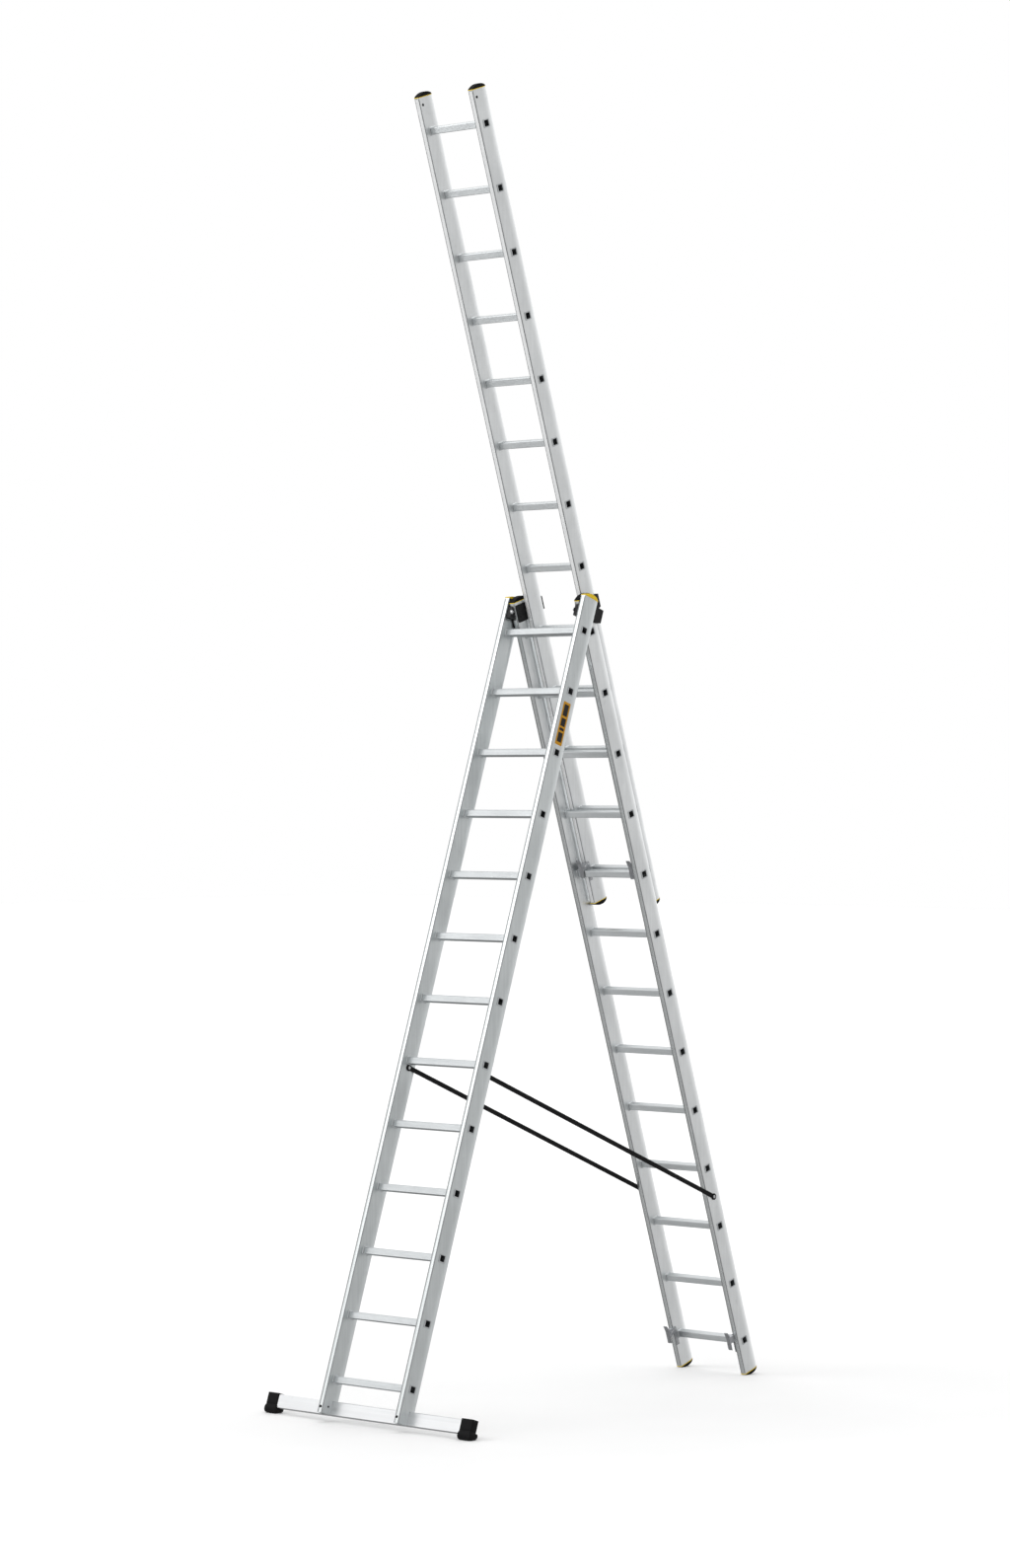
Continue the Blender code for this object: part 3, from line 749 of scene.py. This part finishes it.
def make_boot(side, sign):
    """A sleeve over the bar's end that spreads into a bell-shaped sole with tread lines."""
    node = f"stabiliser_foot_{side}"
    low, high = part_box(node)
    near = low.x if sign > 0 else high.x
    far = (high.x if sign > 0 else low.x) - sign * 0.010
    mid_x = (near + far) / 2
    half_x = abs(far - near) / 2
    top_down = FRONT.bottom - BAR_TALL - 0.004
    mid_out = BAR_FRONT - BAR_THICK / 2
    half_out = BAR_THICK / 2 + 0.004
    floor_y = (low.y + high.y) / 2

    def level(share, grow_x, grow_y, corner, flat):
        """share runs 0 at the top to 1 at the floor. flat turns the ring level."""
        down = top_down + share * (FRONT.bottom - 0.004 - top_down)
        centre = FRONT.point(mid_x, mid_out, down)
        if flat > 0:
            centre = centre.lerp(Vector((mid_x, floor_y, centre.z)), flat)
        ring = []
        for a, b in rounded(half_x + grow_x, half_out + grow_y, corner, 5):
            tilted = FRONT.out * b
            level_dir = Vector((0.0, -b, 0.0))
            ring.append(centre + Vector((a, 0.0, 0.0)) + tilted.lerp(level_dir, flat))
        return ring

    rings = [
        level(0.0, -0.0022, -0.0022, 0.003, 0.0),
        level(0.008, -0.0006, -0.0006, 0.004, 0.0),
        level(0.025, 0.0, 0.0, 0.0045, 0.0),
        level(0.20, 0.0, 0.0, 0.0045, 0.0),
        level(0.40, 0.0, 0.0, 0.0045, 0.0),
        level(0.60, 0.0, 0.0, 0.0045, 0.0),
        level(0.80, 0.0, 0.0, 0.0045, 0.0),
        level(0.815, -0.0007, -0.0007, 0.0045, 0.0),
        level(0.83, 0.0, 0.0, 0.0045, 0.0),
        level(0.875, 0.0006, 0.0008, 0.0055, 0.10),
        level(0.92, 0.0022, 0.0028, 0.0070, 0.30),
        level(0.965, 0.0044, 0.0056, 0.0090, 0.60),
        level(1.0, 0.0058, 0.0074, 0.0110, 0.85),
    ]
    bm = bmesh.new()

    def sole(z, grow_x, grow_y):
        ring = []
        for a, b in rounded(half_x + grow_x, half_out + grow_y, 0.013, 5):
            ring.append(Vector((mid_x + a, floor_y - b, z)))
        return ring

    bell = (
        (0.0205, 0.0066, 0.0084),
        (0.0170, 0.0070, 0.0090),
        (0.0140, 0.0068, 0.0088),
        (0.0132, 0.0058, 0.0078),
        (0.0122, 0.0066, 0.0086),
        (0.0095, 0.0062, 0.0082),
        (0.0087, 0.0052, 0.0072),
        (0.0077, 0.0057, 0.0077),
        (0.0050, 0.0044, 0.0062),
        (0.0023, 0.0024, 0.0040),
        (0.0001, -0.0004, 0.0010),
    )
    rings += [sole(*level_sizes) for level_sizes in bell]
    rings_to(bm, rings)
    obj = piece(f"boot_{side}", bm, RUBBER, "front_section", smooth=50.0)
    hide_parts(node)


for side_name, side_sign in SIDES:
    make_boot(side_name, side_sign)

paint(NODES["stabiliser_bar"], BAR_ALU)


# ---------------------------------------------------------------- brackets, hooks and fasteners

X_AXIS = Vector((1.0, 0.0, 0.0))

for side_name, side_sign in SIDES:
    for node_name, mat in (
        (f"hinge_bracket_{side_name}", BLACK_STEEL),
        (f"guide_bracket_{side_name}", BLACK_STEEL),
        (f"rear_hook_{side_name}", ZINC),
        (f"extension_hook_{side_name}", ZINC),
    ):
        node = NODES[node_name]
        paint(node, mat)
        add_bevel(node, 0.0007, 2)
        fine = node.modifiers.new("Fine", "SUBSURF")
        fine.subdivision_type = "SIMPLE"
        fine.levels = fine.render_levels = 2


def fasteners(name, section, mat, build):
    bm = bmesh.new()
    build(bm)
    return piece(name, bm, mat, section.body, smooth=40.0)


def hinge_bolts(sign):
    def build(bm):
        bolt = FRONT.point(sign * 0.1850, 0.0660, -0.0380)
        hexagon_bolt(bm, bolt, X_AXIS * -sign, FRONT.down, 0.0065, 0.0050, 0.0090)
        for down in (-0.074, -0.030):
            place = FRONT.point(sign * 0.2055, FRONT.centre + 0.010, down)
            rivet(bm, place, X_AXIS * -sign, FRONT.down, 0.0045)
        pivot = FRONT.point(sign * 0.1898, 0.0, 0.0)
        disc = ((0.0, 0.0085), (0.0012, 0.0085), (0.0020, 0.0070), (0.0020, 0.0010))
        revolve(bm, pivot, X_AXIS * -sign, FRONT.down, disc, 24)

    return build


def guide_rivets(sign):
    def build(bm):
        for down in (-0.076, -0.036):
            for out in (0.020, -0.020):
                place = REAR.point(sign * 0.1725, REAR.centre + out, down)
                rivet(bm, place, X_AXIS * -sign, REAR.down, 0.0040)

    return build


def bar_bolts(sign):
    def build(bm):
        place = FRONT.point(sign * 0.2225, FRONT.centre + STILE_FRONT, 3.5320)
        washer = ((-0.0006, 0.0080), (0.0008, 0.0080), (0.0012, 0.0060))
        revolve(bm, place, FRONT.out, FRONT.down, washer, 24)
        rivet(bm, place + FRONT.out * 0.0010, FRONT.out, FRONT.down, 0.0062, 0.9)
        inner = FRONT.point(sign * (FRONT.half - STILE_W), 0.0400, 3.5260)
        rivet(bm, inner, X_AXIS * -sign, FRONT.down, 0.0042)

    return build


def top_rivets(bm):
    for sign in (-1, 1):
        for face, axis in (
            (sign * (EXTENSION.half - STILE_W), X_AXIS * -sign),
            (sign * EXTENSION.half, X_AXIS * sign),
        ):
            place = EXTENSION.point(face, EXTENSION.centre + 0.0245, EXTENSION.top + 0.0325)
            rivet(bm, place, axis, EXTENSION.down, 0.0060, 0.6)


def hook_rivets(section, sign):
    inner = section.half - STILE_W
    rung = section.rung(RUNGS)

    def build(bm):
        for out, down in ((0.034, 0.033), (0.034, -0.031)):
            place = section.point(sign * (inner - 0.0043), section.centre + out, rung + down)
            rivet(bm, place, X_AXIS * -sign, section.down, 0.0042)
        nose = section.point(sign * (inner - 0.0070), section.centre + 0.061, rung - 0.030)
        rivet(bm, nose, X_AXIS * -sign, section.down, 0.0050)

    return build


for side_name, side_sign in SIDES:
    fasteners(f"hinge_bolt_{side_name}", FRONT, BRIGHT, hinge_bolts(side_sign))
    fasteners(f"guide_rivets_{side_name}", REAR, DARK_RIVET, guide_rivets(side_sign))
    fasteners(f"bar_bolt_{side_name}", FRONT, DARK_RIVET, bar_bolts(side_sign))
    for part in (REAR, EXTENSION):
        fasteners(
            f"{part.name}_hook_rivets_{side_name}", part, BRIGHT,
            hook_rivets(part, side_sign),
        )
fasteners("extension_top_rivets", EXTENSION, DARK_RIVET, top_rivets)


def make_latch(section, side, sign):
    """A bent spring wire that closes the hook's mouth."""
    inner = section.half - STILE_W
    rung = section.rung(RUNGS)
    mouth = section.centre + 0.061
    x = sign * (inner - 0.0085)
    path = [
        (mouth - 0.012, rung - 0.034),
        (mouth + 0.004, rung - 0.032),
        (mouth + 0.0190, rung - 0.024),
        (mouth + 0.0195, rung - 0.008),
        (mouth + 0.0195, rung + 0.010),
        (mouth + 0.0175, rung + 0.0205),
        (mouth + 0.0080, rung + 0.0215),
    ]
    curve = bpy.data.curves.new(f"{section.name}_latch_{side}", "CURVE")
    curve.dimensions = "3D"
    curve.bevel_depth = 0.0012
    curve.bevel_resolution = 3
    curve.resolution_u = 8
    curve.use_fill_caps = True
    spline = curve.splines.new("NURBS")
    spline.points.add(len(path) - 1)
    for point, (out, down) in zip(spline.points, path):
        point.co = (*section.point(x, out, down), 1.0)
    spline.order_u = 4
    spline.use_endpoint_u = True
    curve.materials.append(BRIGHT)
    obj = bpy.data.objects.new(curve.name, curve)
    bpy.context.scene.collection.objects.link(obj)
    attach(obj, section.body)


for part in (REAR, EXTENSION):
    for side_name, side_sign in SIDES:
        make_latch(part, side_name, side_sign)


# ---------------------------------------------------------------- straps

STRAP_W = 0.021
STRAP_T = 0.0018
STRAP_PAST = 0.012
TAB_SINK = 0.0006


def make_strap(side, sign):
    """Flat ribbed webbing between the sections, with a round tab and a rivet at each end."""
    start = FRONT.point(sign * 0.2081, 0.0255, 2.038)
    end = REAR.point(sign * 0.2049, REAR.centre, 2.706)
    along_dir = (end - start).normalized()
    length = (end - start).length
    wide = X_AXIS.cross(along_dir).normalized()
    thick = along_dir.cross(wide).normalized()
    ribs = 7
    per_rib = 4
    outline = []
    count = ribs * per_rib
    for face in (1, -1):
        for i in range(count + 1):
            w = (-1 + 2 * i / count) * face
            groove = 0.5 - 0.5 * math.cos(2 * math.pi * i / per_rib)
            half_t = STRAP_T / 2 - 0.00028 * (1 - groove)
            if i in (0, count):
                half_t *= 0.45
            outline.append((w * STRAP_W / 2, face * half_t))
    bm = bmesh.new()
    rings = []
    steps = 64
    for k in range(steps + 1):
        reach = -STRAP_PAST + (length + 2 * STRAP_PAST) * k / steps
        centre = start + along_dir * reach
        rings.append([centre + wide * w + thick * t for w, t in outline])
    rings_to(bm, rings)
    strap = piece(f"strap_web_{side}", bm, WEB, None, smooth=60.0)
    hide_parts(f"strap_{side}")
    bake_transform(strap)
    for label, place, section in (("front", start, FRONT), ("rear", end, REAR)):
        bm = bmesh.new()
        for face in (1, -1):
            revolve(
                bm, place + thick * face * (STRAP_T / 2 - TAB_SINK), thick * face, along_dir,
                ((0.0, 0.0145), (0.0009, 0.0145), (0.0013, 0.0139), (0.0013, 0.0060)), 36,
            )
        piece(f"strap_tab_{label}_{side}", bm, BLACK_PLASTIC, section.body, smooth=40.0)
        bm = bmesh.new()
        for face in (1, -1):
            revolve(
                bm, place + thick * face * (STRAP_T / 2 + TAB_SINK), thick * face, along_dir,
                ((-0.0002, 0.0072), (0.0006, 0.0072), (0.0009, 0.0066), (0.0009, 0.0048)), 28,
            )
        rivet(bm, place + thick * sign * (STRAP_T / 2 + 0.0014), thick * sign, along_dir, 0.0046, 0.5)
        piece(f"strap_rivet_{label}_{side}", bm, BRIGHT, section.body, smooth=40.0)


for side_name, side_sign in SIDES:
    make_strap(side_name, side_sign)


# ---------------------------------------------------------------- label


LABEL_OUT = 0.003


def make_label():
    """A sticker between the second and third rungs, with abstract blocks and no lettering."""
    top = FRONT.rung(2) + 0.052
    bottom = FRONT.rung(3) - 0.034
    x = FRONT.half + 0.0002
    half_out = 0.0225
    centre = (top + bottom) / 2
    half_down = (bottom - top) / 2
    bm = bmesh.new()
    sheet = rounded(half_out, half_down, 0.004, 5)
    middle = FRONT.centre + LABEL_OUT
    rings_to(bm, [across(FRONT, middle, centre, sheet, x + t) for t in (-0.0003, 0.0003)])
    split = len(bm.faces)
    blocks = (
        (0.0, -0.060, 0.016, 0.026),
        (0.0, -0.006, 0.016, 0.018),
        (0.0, 0.026, 0.016, 0.006),
        (0.0, 0.062, 0.016, 0.021),
    )
    # Each block is (out, down, half width, half length) from the sticker's middle.
    for out, down, half_a, half_b in blocks:
        outline = rounded(half_a * 0.9, half_b, 0.0015, 3)
        place = FRONT.centre + LABEL_OUT + out * 0.6
        rings_to(bm, [across(FRONT, place, centre + down, outline, x + t) for t in (0.0002, 0.0005)])
    for i, face in enumerate(bm.faces):
        face.material_index = 0 if i < split else 1
    piece("side_label", bm, (AMBER, LABEL_DARK), "front_section")


make_label()


# ---------------------------------------------------------------- floor, light and camera


FLOOR_Z = -0.0002
FLOOR_REACH = 60.0
FLOOR_GLOW = (0.085, 0.24)
GLOW_FROM = 1.6
GLOW_TO = 7.0
WORLD_STRENGTH = 1.13
# Brightness of the world across X, from -1 to 1.
WORLD_STOPS = (
    (0.0, 0.28), (0.055, 0.36), (0.10, 0.97), (0.42, 1.0), (0.83, 0.60), (0.92, 0.38), (1.0, 0.22)
)


def make_floor():
    """Pale ground that glows a little, less around the feet so that their shadows show."""
    n = Nodes("floor_white")
    tone = n.mix(n.grey(n.noise(0.8, 3.0), 0.0, 1.0), (0.88, 0.88, 0.88), (0.91, 0.91, 0.91))
    distance = n.tree.nodes.new("ShaderNodeVectorMath")
    distance.operation = "LENGTH"
    n.link(n.coord.outputs["Object"], distance.inputs[0])
    glow = n.grey(distance.outputs["Value"], *FLOOR_GLOW, GLOW_FROM, GLOW_TO)
    mat = n.surface(tone, 0.75, 0.0, Specular_IOR_Level=0.1)
    n.link(glow, n.bsdf.inputs["Emission Strength"])
    n.bsdf.inputs["Emission Color"].default_value = (1.0, 1.0, 1.0, 1.0)
    bm = bmesh.new()
    reach = FLOOR_REACH
    corners = ((-1, -1), (1, -1), (1, 1), (-1, 1))
    bm.faces.new([bm.verts.new((sx * reach, sy * reach, FLOOR_Z)) for sx, sy in corners])
    mesh = bpy.data.meshes.new("floor")
    bm.to_mesh(mesh)
    bm.free()
    mesh.materials.append(mat)
    obj = bpy.data.objects.new("floor", mesh)
    bpy.context.scene.collection.objects.link(obj)
    obj.visible_glossy = False


def make_world():
    """A plain white backdrop. What the metal reflects is dimmer at both sides and grey below."""
    world = bpy.data.worlds.new("studio")
    bpy.context.scene.world = world
    world.use_nodes = True
    tree = world.node_tree
    background = tree.nodes["Background"]
    coord = tree.nodes.new("ShaderNodeTexCoord")
    parts = tree.nodes.new("ShaderNodeSeparateXYZ")
    tree.links.new(coord.outputs["Generated"], parts.inputs[0])

    def ranged(source, a, b, low, high, shape="SMOOTHSTEP"):
        node = tree.nodes.new("ShaderNodeMapRange")
        node.interpolation_type = shape
        node.inputs["From Min"].default_value = a
        node.inputs["From Max"].default_value = b
        node.inputs["To Min"].default_value = low
        node.inputs["To Max"].default_value = high
        tree.links.new(source, node.inputs["Value"])
        return node.outputs["Result"]

    def times(a, b):
        node = tree.nodes.new("ShaderNodeMath")
        node.operation = "MULTIPLY"
        tree.links.new(a, node.inputs[0])
        tree.links.new(b, node.inputs[1])
        return node.outputs[0]

    ramp = tree.nodes.new("ShaderNodeValToRGB")
    while len(ramp.color_ramp.elements) < len(WORLD_STOPS):
        ramp.color_ramp.elements.new(0.5)
    for element, (place, value) in zip(ramp.color_ramp.elements, WORLD_STOPS):
        element.position = place
        element.color = (value, value, value, 1.0)
    tree.links.new(ranged(parts.outputs["X"], -1.0, 1.0, 0.0, 1.0, "LINEAR"), ramp.inputs["Fac"])
    depth = ranged(parts.outputs["Z"], -0.26, -0.03, 1.0, 0.0)
    loss = times(depth, ranged(parts.outputs["X"], -0.45, 0.35, 0.72, 0.30))
    rest = tree.nodes.new("ShaderNodeMath")
    rest.operation = "SUBTRACT"
    rest.inputs[0].default_value = 1.0
    tree.links.new(loss, rest.inputs[1])
    strength = times(ramp.outputs["Color"], rest.outputs[0])
    bright = tree.nodes.new("ShaderNodeMath")
    bright.operation = "MULTIPLY"
    bright.inputs[1].default_value = WORLD_STRENGTH
    tree.links.new(strength, bright.inputs[0])
    seen = tree.nodes.new("ShaderNodeLightPath")
    shown = tree.nodes.new("ShaderNodeMix")
    tree.links.new(seen.outputs["Is Camera Ray"], shown.inputs[0])
    tree.links.new(bright.outputs[0], shown.inputs[2])
    shown.inputs[3].default_value = 1.0
    tree.links.new(shown.outputs[0], background.inputs["Strength"])
    background.inputs["Color"].default_value = (1.0, 1.0, 1.0, 1.0)


def make_light(name, place, aim, size, power):
    data = bpy.data.lights.new(name, "AREA")
    data.shape = "RECTANGLE"
    data.size, data.size_y = size
    data.energy = power
    obj = bpy.data.objects.new(name, data)
    obj.location = place
    obj.rotation_euler = (Vector(aim) - Vector(place)).to_track_quat("-Z", "Y").to_euler()
    bpy.context.scene.collection.objects.link(obj)


def make_camera():
    data = bpy.data.cameras.new("camera")
    data.sensor_fit = "VERTICAL"
    data.sensor_height = 36.0
    data.lens = 97.81
    data.clip_end = 400.0
    obj = bpy.data.objects.new("camera", data)
    obj.location = (12.42345, -13.94148, 2.68689)
    obj.rotation_euler = (math.pi / 2, 0.0, 0.73827)
    bpy.context.scene.collection.objects.link(obj)
    bpy.context.scene.camera = obj


make_floor()
make_world()
make_light("key", (-6.0, -8.0, 9.0), (0.0, 0.0, 2.0), (6.0, 6.0), 170.0)
make_light("top", (0.0, 2.0, 12.0), (0.0, 0.0, 0.0), (9.0, 9.0), 130.0)
make_camera()

view = bpy.context.scene.view_settings
view.view_transform = "Standard"
view.look = "None"
